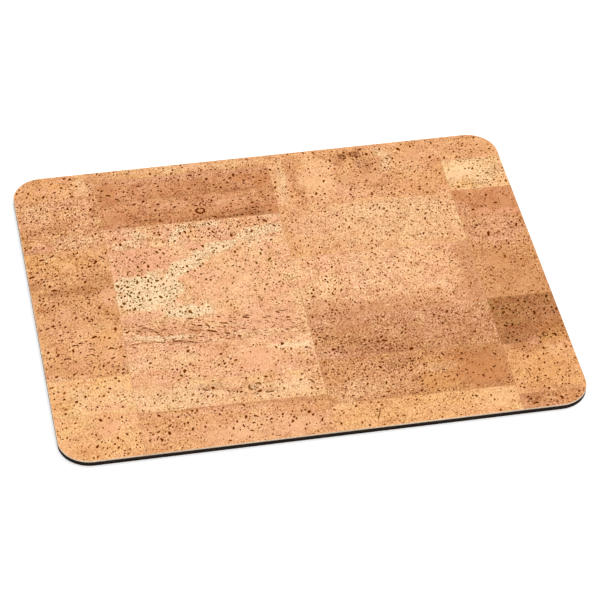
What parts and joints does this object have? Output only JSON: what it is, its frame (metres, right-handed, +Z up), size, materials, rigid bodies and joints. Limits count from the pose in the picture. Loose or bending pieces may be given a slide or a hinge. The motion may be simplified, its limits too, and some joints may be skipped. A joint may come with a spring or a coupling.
{
  "type": "mouse pad",
  "caption": "Thin rectangular mouse pad with rounded corners: a face of glued cork strips on backing cloth, bonded to a black sponge-rubber base that grips the desk.",
  "frame": {"origin": "centre of the pad's underside, on the desk", "axes": "+X along the long side to the right, +Y to the back edge, +Z up through the cork face"},
  "size_m": [0.25, 0.2, 0.003],
  "materials": {
    "sponge_rubber": "black sponge rubber, fine cells on the cut edge, non-slip skin underneath",
    "hot_melt_film": "thin dark hot-melt glue film",
    "woven_backing": "plain-woven natural cotton backing cloth, cut edge",
    "cork_straw": "straw cork bark, sliced and sanded flat, matt sealed, open pores",
    "cork_honey": "honey cork bark, sliced and sanded flat, matt sealed, open pores",
    "cork_peach": "peach cork bark, sliced and sanded flat, matt sealed, open pores",
    "cork_amber": "amber cork bark, sliced and sanded flat, matt sealed, open pores",
    "cork_tan": "tan cork bark, sliced and sanded flat, matt sealed, open pores",
    "cork_rust": "rust cork bark, sliced and sanded flat, matt sealed, open pores",
    "cork_russet": "russet cork bark, sliced and sanded flat, matt sealed, open pores",
    "cork_umber": "umber cork bark, sliced and sanded flat, matt sealed, open pores"
  },
  "bodies": {
    "root": {"sponge_base": "sponge_rubber", "glue_film": "hot_melt_film", "backing_cloth": "woven_backing", "cork_strip_a1": "cork_amber", "cork_strip_a2": "cork_tan", "cork_strip_a3": "cork_tan", "cork_strip_a4": "cork_tan", "cork_strip_a5": "cork_tan", "cork_strip_a6": "cork_amber", "cork_strip_a7": "cork_straw", "cork_strip_a8": "cork_honey", "cork_strip_b1": "cork_tan", "cork_strip_b2": "cork_russet", "cork_strip_b3": "cork_russet", "cork_strip_b4": "cork_peach", "cork_strip_b5": "cork_peach", "cork_strip_b6": "cork_peach", "cork_strip_b7": "cork_peach", "cork_strip_b8": "cork_honey", "cork_strip_b9": "cork_amber", "cork_strip_c1": "cork_amber", "cork_strip_c2": "cork_amber", "cork_strip_c3": "cork_peach", "cork_strip_c4": "cork_umber", "cork_strip_c5": "cork_rust", "cork_strip_c6": "cork_honey", "cork_strip_d1": "cork_amber", "cork_strip_d2": "cork_straw", "cork_strip_d3": "cork_russet", "cork_strip_d4": "cork_rust", "cork_strip_d5": "cork_umber", "cork_strip_d6": "cork_amber", "cork_strip_d7": "cork_russet"}
  },
  "joints": []
}
